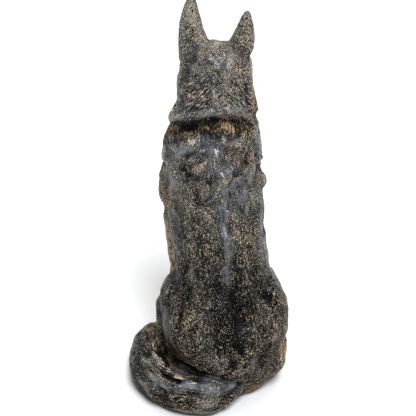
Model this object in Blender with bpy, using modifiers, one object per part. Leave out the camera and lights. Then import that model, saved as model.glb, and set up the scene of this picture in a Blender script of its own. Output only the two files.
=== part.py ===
"""A sitting shepherd dog, cast in aluminium as one piece.

Metres, +Z up. The dog faces -Y, its left side is +X, and it sits on the floor at Z = 0.
Every place and radius of the figure is a share of HEIGHT.
"""

import math

import bmesh
import bpy
import numpy as np
from mathutils import Matrix, Vector

# Driving sizes
HEIGHT = 0.84  # floor to the tip of the taller ear
HEAD_TURN = math.radians(-24)  # the head looks to the dog's right
HEAD_TILT = math.radians(-3)  # the left ear stands higher
HEAD_NOD = math.radians(5)  # the nose is a little below level
HEAD_PLACE = (-0.022, -0.118, 0.818)  # middle of the skull
LEFT_EAR = (0.079, 0.1794)  # how far the tip stands out from the head's middle, and its height
RIGHT_EAR = (0.066, 0.156)
EYE = (0.038, -0.070, 0.016)  # the left eye, in the head's frame
FORE_PAW = (0.079, -0.194)  # middle of the left front paw on the floor
HIND_PAW = (0.155, -0.046)
HIND_SPLAY = 8  # degrees that the hind toes point outwards

# Grain of the clay, as shares of HEIGHT
MASS_VOXEL = 0.0085
FORM_VOXEL = 0.0043
RING_POINTS = 40
RING_STEPS = 4  # rings made between two rows of a table
BALL_SEGMENTS = 24
TRIANGLES = 9500  # of the finished skin

# The coat's lines, as shares of HEIGHT
RUFF_BACK = 0.742  # where the neck ruff ends on the nape
RUFF_SLOPE = 0.47  # how fast its edge drops towards the chest
RUFF_STEP = 0.0065  # how far it stands proud
SPINE_SIDE = 0.008  # the spine bends to the left
LOCK_DEPTH = 0.0062
DENT_DEPTH = 0.0016

# Centre line of the tail: x, y, z and radius
TAIL = [
    (-0.020, 0.150, 0.110, 0.046),
    (0.007, 0.200, 0.066, 0.049),
    (0.043, 0.228, 0.050, 0.050),
    (0.085, 0.237, 0.047, 0.050),
    (0.130, 0.222, 0.047, 0.051),
    (0.170, 0.188, 0.047, 0.052),
    (0.197, 0.140, 0.047, 0.053),
    (0.208, 0.085, 0.047, 0.053),
    (0.207, 0.023, 0.042, 0.047),
    (0.193, -0.028, 0.039, 0.042),
    (0.169, -0.071, 0.034, 0.035),
    (0.142, -0.099, 0.027, 0.026),
    (0.122, -0.110, 0.020, 0.017),
]


def share(x, y, z):
    """A point given in shares of HEIGHT, in metres."""
    return Vector((x, y, z)) * HEIGHT


def clear_scene():
    for old in list(bpy.data.objects):
        bpy.data.objects.remove(old)


def add_ball(clay, centre, radii, turn=(0, 0, 0)):
    """An ellipsoid of clay; turn is in degrees about X, Y and Z."""
    angles = [math.radians(a) for a in turn]
    rotation = (
        Matrix.Rotation(angles[2], 4, "Z")
        @ Matrix.Rotation(angles[1], 4, "Y")
        @ Matrix.Rotation(angles[0], 4, "X")
    )
    place = Matrix.Translation(share(*centre)) @ rotation @ Matrix.Diagonal((*share(*radii), 1))
    bmesh.ops.create_uvsphere(
        clay, u_segments=BALL_SEGMENTS, v_segments=BALL_SEGMENTS // 2, radius=1, matrix=place
    )


def add_rings(clay, rings):
    """A closed skin over a stack of rings, each a list of points, with flat ends."""
    made = [[clay.verts.new(p) for p in ring] for ring in rings]
    count = len(made[0])
    for low, high in zip(made, made[1:]):
        for i in range(count):
            j = (i + 1) % count
            clay.faces.new((low[i], low[j], high[j], high[i]))
    clay.faces.new(made[0][::-1])
    clay.faces.new(made[-1])


def add_limb(clay, stations):
    """A tapering round limb along a smooth line through stations of (x, y, z, radius)."""
    line = bpy.data.curves.new("limb", "CURVE")
    line.dimensions = "3D"
    line.bevel_depth = 1
    line.bevel_resolution = 6
    line.resolution_u = 8
    line.use_fill_caps = True
    spline = line.splines.new("BEZIER")
    spline.bezier_points.add(len(stations) - 1)
    for point, (x, y, z, radius) in zip(spline.bezier_points, stations):
        point.co = share(x, y, z)
        point.radius = radius * HEIGHT
        point.handle_left_type = point.handle_right_type = "AUTO"
    limb = bpy.data.objects.new("limb", line)
    bpy.context.collection.objects.link(limb)
    graph = bpy.context.evaluated_depsgraph_get()
    mesh = bpy.data.meshes.new_from_object(limb.evaluated_get(graph))
    clay.from_mesh(mesh)
    bpy.data.objects.remove(limb)
    bpy.data.meshes.remove(mesh)


def smooth_table(rows, steps):
    """Rows of numbers joined by a smooth Catmull-Rom line, sampled steps times a span."""
    table = np.array(rows, float)
    ends = np.vstack([2 * table[0] - table[1], table, 2 * table[-1] - table[-2]])
    made = []
    for i in range(1, len(ends) - 2):
        a, b, c, d = ends[i - 1 : i + 3]
        for t in np.arange(steps) / steps:
            bend = (2 * a - 5 * b + 4 * c - d) * t**2 + (3 * b - a - 3 * c + d) * t**3
            made.append(0.5 * (2 * b + (c - a) * t + bend))
    made.append(table[-1])
    return np.array(made)


def round_point(k):
    """The k-th point of a ring of RING_POINTS points, on a circle of radius 1."""
    angle = 2 * math.pi * k / RING_POINTS
    return math.cos(angle), math.sin(angle)


def add_torso(clay):
    """Body and neck, as level rings from the seat to the nape.

    Each row is height, front, back and half width.
    """
    rows = [
        (-0.02, 0.120, 0.190, 0.085),
        (0.03, 0.100, 0.224, 0.112),
        (0.09, 0.078, 0.246, 0.130),
        (0.15, 0.050, 0.251, 0.139),
        (0.21, 0.008, 0.240, 0.137),
        (0.28, -0.045, 0.216, 0.129),
        (0.35, -0.112, 0.186, 0.126),
        (0.42, -0.190, 0.152, 0.127),
        (0.49, -0.226, 0.118, 0.130),
        (0.56, -0.228, 0.082, 0.130),
        (0.62, -0.215, 0.050, 0.126),
        (0.68, -0.198, 0.020, 0.117),
        (0.74, -0.184, -0.006, 0.100),
        (0.79, -0.176, -0.028, 0.092),
        (0.83, -0.165, -0.045, 0.092),
        (0.865, -0.150, -0.062, 0.076),
    ]
    rings = []
    for z, front, back, half in smooth_table(rows, RING_STEPS):
        middle = (front + back) / 2
        depth = (back - front) / 2
        lean = HEAD_PLACE[0] * max(0.0, (z - 0.6) / 0.22)
        ring = []
        for k in range(RING_POINTS):
            x, y = round_point(k)
            keel = 1 - 0.10 * abs(y) ** 3
            ring.append(share(lean + half * x * keel, middle + depth * y, z))
        rings.append(ring)
    add_rings(clay, rings)


def add_toes(clay, paw, side, splay):
    """Four toes side by side, the middle two further forward, on the paw's splay in degrees."""
    turn = side * splay
    frame = Matrix.Rotation(math.radians(turn), 3, "Z")
    for step in (-1.5, -0.5, 0.5, 1.5):
        reach = 0.036 - 0.005 * (abs(step) > 1)
        at = Vector((side * paw[0], paw[1], 0.018)) + frame @ Vector((step * 0.0195, -reach, 0))
        add_ball(clay, at, (0.0120, 0.026, 0.021), (-14, 0, turn + 5 * step))


def add_foreleg(clay, side):
    """Shoulder, elbow, leg and paw; side is 1 on the dog's left.

    The balls are the shoulder blade, its point in front, the upper arm and its head, and the elbow.
    """
    add_ball(clay, (side * 0.074, -0.060, 0.585), (0.048, 0.075, 0.120), (-24, 0, 0))
    add_ball(clay, (side * 0.086, -0.135, 0.500), (0.042, 0.074, 0.085), (10, 0, 0))
    add_ball(clay, (side * 0.096, -0.085, 0.484), (0.045, 0.072, 0.066), (35, 0, 0))
    add_ball(clay, (side * 0.092, -0.060, 0.566), (0.041, 0.056, 0.052), (-24, 0, 0))
    add_ball(clay, (side * 0.084, -0.095, 0.395), (0.038, 0.052, 0.070), (18, 0, 0))
    add_limb(
        clay,
        [
            (side * 0.082, -0.112, 0.420, 0.044),
            (side * 0.080, -0.122, 0.345, 0.042),
            (side * 0.078, -0.136, 0.265, 0.036),
            (side * 0.077, -0.150, 0.185, 0.031),
            (side * 0.077, -0.158, 0.135, 0.032),
            (side * 0.077, -0.168, 0.080, 0.029),
            (side * 0.078, -0.180, 0.035, 0.032),
        ],
    )
    add_ball(clay, (side * FORE_PAW[0], FORE_PAW[1], 0.022), (0.038, 0.044, 0.028))


def add_haunch(clay, side):
    """Buttock, thigh, seat, shin and hind foot; side is 1 on the dog's left."""
    add_ball(clay, (side * 0.094, 0.100, 0.185), (0.077, 0.118, 0.132), (-12, 0, 0))
    add_ball(clay, (side * 0.112, 0.045, 0.210), (0.056, 0.090, 0.096), (-25, 0, 0))
    add_ball(clay, (side * 0.112, 0.110, 0.085), (0.054, 0.095, 0.085))
    add_limb(
        clay,
        [
            (side * 0.128, -0.020, 0.195, 0.042),
            (side * 0.136, 0.030, 0.120, 0.040),
            (side * 0.138, 0.095, 0.055, 0.036),
        ],
    )
    add_limb(
        clay,
        [
            (side * 0.112, 0.150, 0.040, 0.036),
            (side * 0.128, 0.095, 0.031, 0.032),
            (side * 0.151, 0.045, 0.027, 0.032),
            (side * 0.154, 0.000, 0.025, 0.031),
            (side * 0.154, -0.035, 0.023, 0.031),
        ],
    )
    add_ball(clay, (side * HIND_PAW[0], HIND_PAW[1], 0.021), (0.038, 0.042, 0.027))


def add_skull(clay):
    """The head's large forms, in its own frame, with the middle of the skull at the origin.

    Each row is forward place, top, bottom and half width, from the back of the skull to the nose.
    """
    rows = [
        (0.085, 0.010, -0.070, 0.050),
        (0.065, 0.045, -0.090, 0.070),
        (0.030, 0.064, -0.098, 0.078),
        (-0.005, 0.068, -0.098, 0.077),
        (-0.035, 0.062, -0.092, 0.070),
        (-0.058, 0.050, -0.087, 0.061),
        (-0.078, 0.034, -0.083, 0.053),
        (-0.098, 0.023, -0.079, 0.048),
        (-0.124, 0.018, -0.075, 0.044),
        (-0.153, 0.015, -0.070, 0.041),
        (-0.180, 0.013, -0.064, 0.038),
        (-0.197, 0.009, -0.055, 0.033),
        (-0.207, -0.001, -0.042, 0.022),
    ]
    rings = []
    for y, top, bottom, half in smooth_table(rows, RING_STEPS):
        middle = (top + bottom) / 2
        tall = (top - bottom) / 2
        ring = []
        for k in range(RING_POINTS):
            x, z = round_point(k)
            jaw = 1 - 0.24 * max(0.0, z)
            square = 1 / max(abs(x), abs(z)) ** 0.35
            ring.append(share(half * x * square * jaw, y, middle - tall * z * square))
        rings.append(ring[::-1])
    add_rings(clay, rings)
    for side in (1, -1):
        # brow, cheekbone, cheek fur, and the root of the ear above and below
        add_ball(clay, (side * 0.029, -0.062, 0.036), (0.022, 0.028, 0.014), (28, 0, side * -28))
        add_ball(clay, (side * 0.046, -0.036, -0.012), (0.026, 0.052, 0.026), (0, 0, side * 12))
        add_ball(clay, (side * 0.054, 0.014, -0.052), (0.046, 0.060, 0.056))
        add_ball(clay, (side * 0.048, 0.018, 0.030), (0.038, 0.028, 0.032), (0, side * 25, 0))
        add_ball(clay, (side * 0.060, 0.022, -0.008), (0.034, 0.040, 0.048))


def add_ear(clay, side, ear):
    """An upright cupped ear: leaf-shaped rings bent round the opening, with a thick rolled edge."""
    spread, tall = ear
    base = Vector((side * (spread - 0.032), 0.014, 0.010))
    tip = Vector((side * spread, -0.004, tall))
    facing = Matrix.Rotation(math.radians(side * 16), 3, "Z")
    rings = []
    for t in np.linspace(0, 1, 17):
        wide = 0.048 * (1 - t) ** 0.60 + 0.001
        thick = 0.0112 - 0.0028 * t
        cup = 0.026 * (1 - t) ** 0.7
        middle = base.lerp(tip, t) + Vector((side * 0.010 * math.sin(math.pi * t), 0, 0))
        ring = []
        for i in range(RING_POINTS):
            x, y = round_point(i)
            slab = math.copysign(abs(y) ** 0.5, y)
            offset = facing @ Vector((wide * x, thick * slab + cup * (0.5 - x * x), 0))
            ring.append(share(*(middle + offset)))
        rings.append(ring)
    add_rings(clay, rings)


def add_features(clay):
    """Ears, eyes and the tip of the nose, in the head's frame."""
    for side, ear in ((1, LEFT_EAR), (-1, RIGHT_EAR)):
        add_ear(clay, side, ear)
        add_ball(clay, (side * EYE[0], EYE[1], EYE[2]), (0.012, 0.012, 0.010))
    add_ball(clay, (0, -0.203, -0.004), (0.020, 0.012, 0.014))


def head_frame():
    """Where the head is: from its own frame to the figure's."""
    return (
        Matrix.Translation(share(*HEAD_PLACE))
        @ Matrix.Rotation(HEAD_TURN, 4, "Z")
        @ Matrix.Rotation(HEAD_TILT, 4, "Y")
        @ Matrix.Rotation(HEAD_NOD, 4, "X")
    )


def stick_on(clay, other, frame):
    """Adds a second lump of clay, placed by a frame, to the first."""
    other.transform(frame)
    mesh = bpy.data.meshes.new("lump")
    other.to_mesh(mesh)
    other.free()
    clay.from_mesh(mesh)
    bpy.data.meshes.remove(mesh)


def worked(name, clay, voxel, rounds):
    """The clay kneaded into one skin and smoothed: a new mesh."""
    mesh = bpy.data.meshes.new(name)
    clay.to_mesh(mesh)
    clay.free()
    lump = bpy.data.objects.new(name, mesh)
    bpy.context.collection.objects.link(lump)
    knead = lump.modifiers.new("knead", "REMESH")
    knead.mode = "VOXEL"
    knead.voxel_size = voxel * HEIGHT
    soften = lump.modifiers.new("soften", "SMOOTH")
    soften.factor = 0.5
    soften.iterations = rounds
    graph = bpy.context.evaluated_depsgraph_get()
    made = bpy.data.meshes.new_from_object(lump.evaluated_get(graph))
    bpy.data.objects.remove(lump)
    return made


def hill(place, middle, width):
    """1 at the middle, falling to 0 on both sides."""
    return np.exp(-(((place - middle) / width) ** 2))


def rise(place, middle, width):
    """0 well below the middle and 1 well above it, with a soft step between."""
    return 0.5 + 0.5 * np.tanh((place - middle) / width)


def tufts(across, along, wide, long):
    """Overlapping pointed locks in columns, from 0 in the grooves to 1 on a lock's tip.

    Each column is a round ridge. Along it the lock swells and narrows to its tip, then drops
    to the start of the next, and neighbouring columns are out of step.
    """
    column = np.floor(across / wide)
    ridge = across / wide - column
    swell = (along / long + 0.618 * column) % 1
    body = 4 * ridge * (1 - ridge) - 0.55 * swell**3
    return np.sqrt(np.clip(body, 0, 1)) * (0.45 + 0.55 * swell)


def ruff(x, y, z, facing):
    """The neck ruff stands proud of the back in an arched edge, with an undercut below it."""
    turn = np.arctan2(x - HEAD_PLACE[0], y + 0.10)
    wave = 0.0015 + 0.0035 * rise(-y, 0.05, 0.03)
    edge = RUFF_BACK + RUFF_SLOPE * (y - 0.004) + wave * np.sin(9 * turn)
    above = z - edge
    proud = RUFF_STEP * np.exp(-np.maximum(above, 0) / 0.05)
    under = -0.8 * RUFF_STEP * np.exp(np.minimum(above, 0) / 0.022)
    blend = rise(above, 0, 0.003)
    reach = rise(y, -0.150, 0.02) * rise(z, 0.60, 0.02)
    return (proud * blend + under * (1 - blend)) * reach


def spine(x, y, z, facing):
    """A raised line down the upper back, and a furrow over the rump."""
    behind = rise(facing[1], 0.25, 0.1)
    ridge = 0.0045 * hill(x, SPINE_SIDE, 0.013) * rise(z, 0.36, 0.04) * rise(-z, -0.69, 0.02)
    wander = SPINE_SIDE + 0.012 * np.sin(21 * z)
    furrow = 0.0065 * hill(x, wander, 0.014) * hill(z, 0.20, 0.09)
    return (ridge - furrow) * behind


def bib(x, y, z, facing):
    """Long locks hang over the chest and the throat, under the ruff."""
    front = rise(-facing[1], 0.15, 0.12) * rise(z, 0.41, 0.02) * rise(-z, -0.73, 0.02)
    middle = x - HEAD_PLACE[0] * rise(z, 0.68, 0.05)
    bent = middle + 0.006 * np.sin(26 * z)
    return LOCK_DEPTH * (tufts(bent, -z + 0.8 * np.abs(middle), 0.034, 0.095) - 0.45) * front


def mane(x, y, z, facing):
    """Shorter locks sweep down and back over the sides of the neck."""
    side = rise(np.abs(facing[0]), 0.45, 0.12) * rise(z, 0.66, 0.02) * rise(-z, -0.80, 0.015)
    return 0.6 * LOCK_DEPTH * (tufts(y + 0.45 * z, -z, 0.030, 0.075) - 0.45) * side


def face(x, y, z, facing):
    """Mouth line, eye rims and the furrow of the brow, worked out in the head's own frame."""
    back = head_frame().inverted()
    turned = np.array(back.to_3x3()) @ np.stack([x, y, z])
    across, along, up = turned + np.array(back.translation / HEIGHT)[:, None]
    lip = -0.044 - 0.16 * (along + 0.19) + 0.9 * np.maximum(along + 0.12, 0) ** 2
    mouth = 0.0045 * hill(up, lip, 0.0055) * rise(-along, 0.092, 0.006) * rise(up, -0.06, 0.004)
    around = np.hypot((along - EYE[1]) / 1.5, up - EYE[2])
    rim = 0.0042 * hill(around, 0.0125, 0.0045) * rise(np.abs(across), 0.024, 0.004)
    brow = 0.0040 * hill(across, 0, 0.009) * hill(along, -0.060, 0.035) * rise(up, 0.02, 0.01)
    return -mouth - rim * rise(-along, 0.03, 0.01) - brow


def tail_coat(x, y, z, facing):
    """Strokes that run along the tail."""
    line = smooth_table(TAIL, 8)
    gaps = np.stack([x, y, z], 1)[:, None, :] - line[None, :, :3]
    near = (gaps**2).sum(2)
    nearest = near.argmin(1)
    distance = np.sqrt(near[np.arange(len(x)), nearest])
    radius = line[nearest, 3]
    steps = np.linalg.norm(np.diff(line[:, :3], axis=0), axis=1)
    along = np.concatenate([[0], np.cumsum(steps)])[nearest]
    hub = 0.02
    side = np.hypot(x - hub, y) - np.hypot(line[nearest, 0] - hub, line[nearest, 1])
    around = np.arctan2(z - line[nearest, 2], side)
    on_tail = rise(-distance / radius, -1.12, 0.05) * rise(along, 0.07, 0.02)
    return LOCK_DEPTH * (tufts(around * 0.05 + 0.1 * along, along, 0.026, 0.12) - 0.4) * on_tail


def dents(x, y, z, facing):
    """The shallow hollows that the modeller's tools left all over."""
    wave = np.sin(41 * x + 17 * z) * np.sin(37 * y - 11 * x) * np.sin(33 * z + 23 * y)
    return DENT_DEPTH * wave


COAT = (ruff, spine, bib, mane, face, tail_coat, dents)


def carve(mesh):
    """Moves the skin in and out along its normals to cut the coat's main lines."""
    count = len(mesh.vertices)
    points = np.empty(3 * count)
    normals = np.empty(3 * count)
    mesh.vertices.foreach_get("co", points)
    mesh.vertices.foreach_get("normal", normals)
    x, y, z = points.reshape(-1, 3).T / HEIGHT
    facing = normals.reshape(-1, 3).T
    lift = sum(line(x, y, z, facing) for line in COAT)
    points += normals * np.repeat(lift * HEIGHT, 3)
    mesh.vertices.foreach_set("co", points)
    mesh.update()


def bounds(mesh):
    points = np.array([v.co for v in mesh.vertices])
    return points.min(0), points.max(0)


def new_collection(name):
    made = bpy.data.collections.new(name)
    bpy.context.scene.collection.children.link(made)
    return made


def patina():
    """Black patina over the casting, brushed with dull gold."""
    made = bpy.data.materials.new("black_and_gold_patina")
    made.use_nodes = True
    shader = made.node_tree.nodes["Principled BSDF"]
    shader.inputs["Base Color"].default_value = (0.045, 0.040, 0.036, 1)
    shader.inputs["Roughness"].default_value = 0.45
    shader.inputs["Metallic"].default_value = 0.3
    return made


def cut_flat(dog, cutters):
    """Everything under the floor is ground off, so that the feet, seat and tail stand flat."""
    bpy.ops.mesh.primitive_cube_add(size=2 * HEIGHT, location=(0, 0, -HEIGHT))
    floor = bpy.context.object
    floor.name = "floor_cutter"
    for home in floor.users_collection:
        home.objects.unlink(floor)
    cutters.objects.link(floor)
    floor.hide_render = True
    floor.display_type = "WIRE"
    grind = dog.modifiers.new("grind", "BOOLEAN")
    grind.operation = "DIFFERENCE"
    grind.solver = "EXACT"
    grind.object = floor


def model_masses():
    """The figure's large forms, as one smooth skin."""
    clay = bmesh.new()
    add_torso(clay)
    add_limb(clay, TAIL)
    for side in (1, -1):
        add_foreleg(clay, side)
        add_haunch(clay, side)
    head = bmesh.new()
    add_skull(head)
    stick_on(clay, head, head_frame())
    return worked("masses", clay, MASS_VOXEL, 5)


def model_forms(masses):
    """The masses with the toes, ears, eyes and nose added, as one skin."""
    clay = bmesh.new()
    clay.from_mesh(masses)
    for side in (1, -1):
        add_toes(clay, FORE_PAW, side, 0)
        add_toes(clay, HIND_PAW, side, HIND_SPLAY)
    features = bmesh.new()
    add_features(features)
    stick_on(clay, features, head_frame())
    return worked("forms", clay, FORM_VOXEL, 2)


def main():
    clear_scene()
    shape = model_forms(model_masses())
    carve(shape)
    low, high = bounds(shape)
    shape.transform(Matrix.Translation((-(low[0] + high[0]) / 2, -(low[1] + high[1]) / 2, 0)))
    shape.shade_smooth()
    shape.materials.append(patina())

    statue = new_collection("cast_dog_statue")
    cutters = new_collection("cutters")
    dog = bpy.data.objects.new("dog_statue", shape)
    statue.objects.link(dog)
    thin = dog.modifiers.new("thin", "DECIMATE")
    thin.ratio = TRIANGLES / (2 * len(shape.polygons))
    cut_flat(dog, cutters)


main()
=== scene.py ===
"""A sitting shepherd dog cast in aluminium: its carved coat, its face and its black and gold patina."""

import math

import bmesh
import bpy
import numpy as np
from mathutils import Matrix, Vector


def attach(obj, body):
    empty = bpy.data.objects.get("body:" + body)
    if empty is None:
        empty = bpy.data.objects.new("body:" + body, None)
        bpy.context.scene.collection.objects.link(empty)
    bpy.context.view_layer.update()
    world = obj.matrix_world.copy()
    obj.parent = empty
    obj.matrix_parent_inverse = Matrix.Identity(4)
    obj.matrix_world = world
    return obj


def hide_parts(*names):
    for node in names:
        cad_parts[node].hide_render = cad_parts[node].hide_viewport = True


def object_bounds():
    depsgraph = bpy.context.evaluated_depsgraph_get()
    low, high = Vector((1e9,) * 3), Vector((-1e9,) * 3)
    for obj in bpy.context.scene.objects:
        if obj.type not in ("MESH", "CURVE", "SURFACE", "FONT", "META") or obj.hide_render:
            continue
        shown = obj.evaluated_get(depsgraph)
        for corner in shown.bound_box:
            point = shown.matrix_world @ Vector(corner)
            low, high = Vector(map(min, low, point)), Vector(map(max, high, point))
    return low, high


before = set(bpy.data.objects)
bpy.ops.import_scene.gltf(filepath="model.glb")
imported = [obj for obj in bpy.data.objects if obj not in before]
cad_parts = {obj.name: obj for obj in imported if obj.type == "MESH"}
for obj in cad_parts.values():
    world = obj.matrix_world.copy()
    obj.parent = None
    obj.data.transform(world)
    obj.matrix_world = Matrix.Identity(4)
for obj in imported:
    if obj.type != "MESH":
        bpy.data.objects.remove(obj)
cad_low, cad_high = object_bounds()

# The dog is one hollow aluminium casting, taken from a model in clay. The modeller worked from a
# middle line through the forelegs and from shares of the height; the head is a block of its own on
# the neck, turned to the dog's right.
TALL = 0.84
MIDDLE = np.array((-0.0257, 0.0121, 0.0))
HEAD_PLACE = (-0.022, -0.118, 0.818)
HEAD_TURN = math.radians(-24)
HEAD_TILT = math.radians(-3)
HEAD_NOD = math.radians(5)


def own_shares(points):
    """Points in metres as shares of the height, measured from the figure's own middle line."""
    return (points - MIDDLE) / TALL


def inside_cad(points):
    """Points in metres, brought back to the solid's own box where they would lie past it."""
    return np.clip(points, np.array(cad_low), np.array(cad_high))


HEAD = (
    Matrix.Translation(Vector(MIDDLE) + Vector(HEAD_PLACE) * TALL)
    @ Matrix.Rotation(HEAD_TURN, 4, "Z")
    @ Matrix.Rotation(HEAD_TILT, 4, "Y")
    @ Matrix.Rotation(HEAD_NOD, 4, "X")
)
HEAD_AXES = np.array(HEAD.to_3x3())
HEAD_MIDDLE = np.array(HEAD.translation)


def head_shares(points):
    """Points in metres as shares of the height in the head's frame: across, back and up."""
    return (points - HEAD_MIDDLE) @ HEAD_AXES / TALL


# Lumps of clay pressed on before the coat was cut. They are closed shells worked out on a grid,
# and the kneading below makes one skin of them and the casting.
BALL_ROWS = 13
BALL_COLUMNS = 20


def shell_mesh(points, rows, columns):
    """A mesh of a grid whose columns run round, with its first and last rows drawn to points."""
    index = np.arange(rows * columns).reshape(rows, columns)
    after = np.roll(index, -1, axis=1)
    quads = np.stack([index[:-1], after[:-1], after[1:], index[1:]], axis=-1).reshape(-1, 4)
    mesh = bpy.data.meshes.new("clay")
    mesh.from_pydata(points.reshape(-1, 3).tolist(), [], quads.tolist())
    return mesh


def ball(centre, radii, turn=(0, 0, 0)):
    """An ellipsoid: latitude v from pole to pole, longitude u round, scaled by its three radii."""
    latitudes = np.linspace(1e-3, math.pi - 1e-3, BALL_ROWS)
    longitudes = np.arange(BALL_COLUMNS) * math.tau / BALL_COLUMNS
    v, u = np.meshgrid(latitudes, longitudes, indexing="ij")
    sphere = np.stack([np.sin(v) * np.cos(u), np.sin(v) * np.sin(u), -np.cos(v)], axis=-1)
    spin = [Matrix.Rotation(math.radians(degrees), 3, axis) for degrees, axis in zip(turn, "XYZ")]
    points = (sphere * radii) @ np.array(spin[2] @ spin[1] @ spin[0]).T + centre
    return shell_mesh(points, BALL_ROWS, BALL_COLUMNS)


# The eyes: a round ball in each socket, pressed on with a little clay to spare for the cutting.
EYE = np.array((0.0400, -0.0740, 0.0155))
EYE_RADIUS = 0.0136
EYE_SPARE = 0.0012
clay = [ball(EYE * (side, 1, 1), (EYE_RADIUS + EYE_SPARE,) * 3) for side in (1, -1)]

# The nose is a square pad over the end of the muzzle.
NOSE = np.array((0.0, -0.2030, -0.0015))
clay.append(ball(NOSE, (0.0180, 0.0115, 0.0125), (-14, 0, 0)))

# A claw lies on the front of each toe, and the two outer toes of a paw stand a little back.
CLAW = (0.0042, 0.0095, 0.0058)
TOE_STEP = 0.0195
TOE_FRONT = -0.056
OUTER_TOE_BACK = 0.005
CLAW_HEIGHT = 0.013
FORE_PAW = (0.079, -0.194, 0.0)
HIND_PAW = (0.155, -0.046, 0.0)
claws = []
for paw, splay in ((FORE_PAW, 0), (HIND_PAW, 8)):
    for side in (1, -1):
        for step in (-1.5, -0.5, 0.5, 1.5):
            turn = Matrix.Rotation(math.radians(side * splay), 3, "Z")
            front = TOE_FRONT + OUTER_TOE_BACK * (abs(step) > 1)
            tip = turn @ Vector((step * TOE_STEP, front, CLAW_HEIGHT))
            place = np.array(paw) * (side, 1, 1) + tip
            claws.append(ball(place, CLAW, (18, 0, side * splay + 4 * step)))

# The skin: the solid's own surface with the lumps on it, kneaded into one closed skin fine
# enough to take the marks of the coat.
SKIN_STEP = 0.0021
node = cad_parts["dog_statue"]
skin = bmesh.new()
skin.from_mesh(node.data)
bmesh.ops.remove_doubles(skin, verts=skin.verts, dist=1e-5)
round_skin = bpy.data.meshes.new("round_skin")
skin.to_mesh(round_skin)
skin.free()


def finished(mesh, name, steps):
    """The mesh after a row of modifiers, each given as a kind and its settings."""
    holder = bpy.data.objects.new(name, mesh)
    bpy.context.scene.collection.objects.link(holder)
    for kind, settings in steps:
        modifier = holder.modifiers.new(kind.lower(), kind)
        for key, value in settings.items():
            setattr(modifier, key, value)
    graph = bpy.context.evaluated_depsgraph_get()
    made = bpy.data.meshes.new_from_object(holder.evaluated_get(graph))
    made.name = name
    bpy.data.objects.remove(holder)
    return made


rounded = finished(round_skin, "rounded", [("SUBSURF", {"levels": 2, "render_levels": 2})])
lump = bmesh.new()
lump.from_mesh(rounded)
for shells, place in ((clay, HEAD), (claws, Matrix.Translation(Vector(MIDDLE)))):
    for piece in shells:
        piece.transform(place @ Matrix.Scale(TALL, 4))
        lump.from_mesh(piece)
whole = bpy.data.meshes.new("whole")
lump.to_mesh(whole)
lump.free()
body = finished(
    whole,
    "body",
    [
        ("REMESH", {"mode": "VOXEL", "voxel_size": SKIN_STEP}),
        ("SMOOTH", {"factor": 0.5, "iterations": 3}),
    ],
)

# The face is worked finer than the rest: its skin is divided once more before it is carved.
FINE_BACK = -0.030
FINE_HEIGHT = 0.700


def read(mesh, what):
    """A mesh's co or normal of every vertex, as rows of three."""
    values = np.empty(len(mesh.vertices) * 3)
    mesh.vertices.foreach_get(what, values)
    return values.reshape(-1, 3)


co = read(body, "co")
in_face = (head_shares(co)[:, 1] < FINE_BACK) & (own_shares(co)[:, 2] > FINE_HEIGHT)
fine = bmesh.new()
fine.from_mesh(body)
face_edges = [edge for edge in fine.edges if all(in_face[end.index] for end in edge.verts)]
bmesh.ops.subdivide_edges(fine, edges=face_edges, cuts=1, use_grid_fill=True)
fine.to_mesh(body)
fine.free()
body.update()


# The hair's run. The coat is combed from the nose over the crown and down the back, outwards and
# down on the neck, straight down the legs and chest, and along the tail.
def rise(place, middle, width):
    """0 well below the middle and 1 well above it, with a soft step between."""
    return 0.5 + 0.5 * np.tanh((place - middle) / width)


def hill(place, middle, width):
    """1 at the middle, falling to 0 on both sides."""
    return np.exp(-(((place - middle) / width) ** 2))


# the tail's middle line from root to tip: across, back and up, and its radius there, in shares
TAIL = np.array(
    [
        (-0.020, 0.150, 0.110, 0.046),
        (0.007, 0.200, 0.066, 0.049),
        (0.043, 0.228, 0.050, 0.050),
        (0.085, 0.237, 0.047, 0.050),
        (0.130, 0.222, 0.047, 0.051),
        (0.170, 0.188, 0.047, 0.052),
        (0.197, 0.140, 0.047, 0.053),
        (0.208, 0.085, 0.047, 0.053),
        (0.207, 0.023, 0.042, 0.047),
        (0.193, -0.028, 0.039, 0.042),
        (0.169, -0.071, 0.034, 0.035),
        (0.142, -0.099, 0.027, 0.026),
        (0.122, -0.110, 0.020, 0.017),
    ]
)
TAIL_STEPS = 97
POINTS_AT_ONCE = 20000


def tail_run(own):
    """How far along the tail each point lies, its angle round it, how surely it is on it, and
    the way that the tail runs there."""
    steps = np.linspace(0, len(TAIL) - 1, TAIL_STEPS)
    line = np.stack([np.interp(steps, np.arange(len(TAIL)), column) for column in TAIL.T], axis=1)
    nearest = np.empty(len(own), int)
    for start in range(0, len(own), POINTS_AT_ONCE):
        part = slice(start, start + POINTS_AT_ONCE)
        gaps = own[part, None, :] - line[None, :, :3]
        nearest[part] = (gaps**2).sum(2).argmin(1)
    middle = line[nearest]
    gap = own - middle[:, :3]
    lengths = np.linalg.norm(np.diff(line[:, :3], axis=0), axis=1)
    along = np.concatenate([[0], np.cumsum(lengths)])[nearest]
    run = np.gradient(line[:, :3], axis=0)[nearest]
    run /= np.linalg.norm(run, axis=1, keepdims=True)
    outward = np.stack([run[:, 1], -run[:, 0], np.zeros(len(run))], axis=1)
    angle = np.arctan2(gap[:, 2], (gap * outward).sum(1))
    off = np.linalg.norm(gap, axis=1) / middle[:, 3]
    on = rise(-off, -1.13, 0.04) * rise(along, 0.06, 0.015)
    return along, angle, on, run


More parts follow.
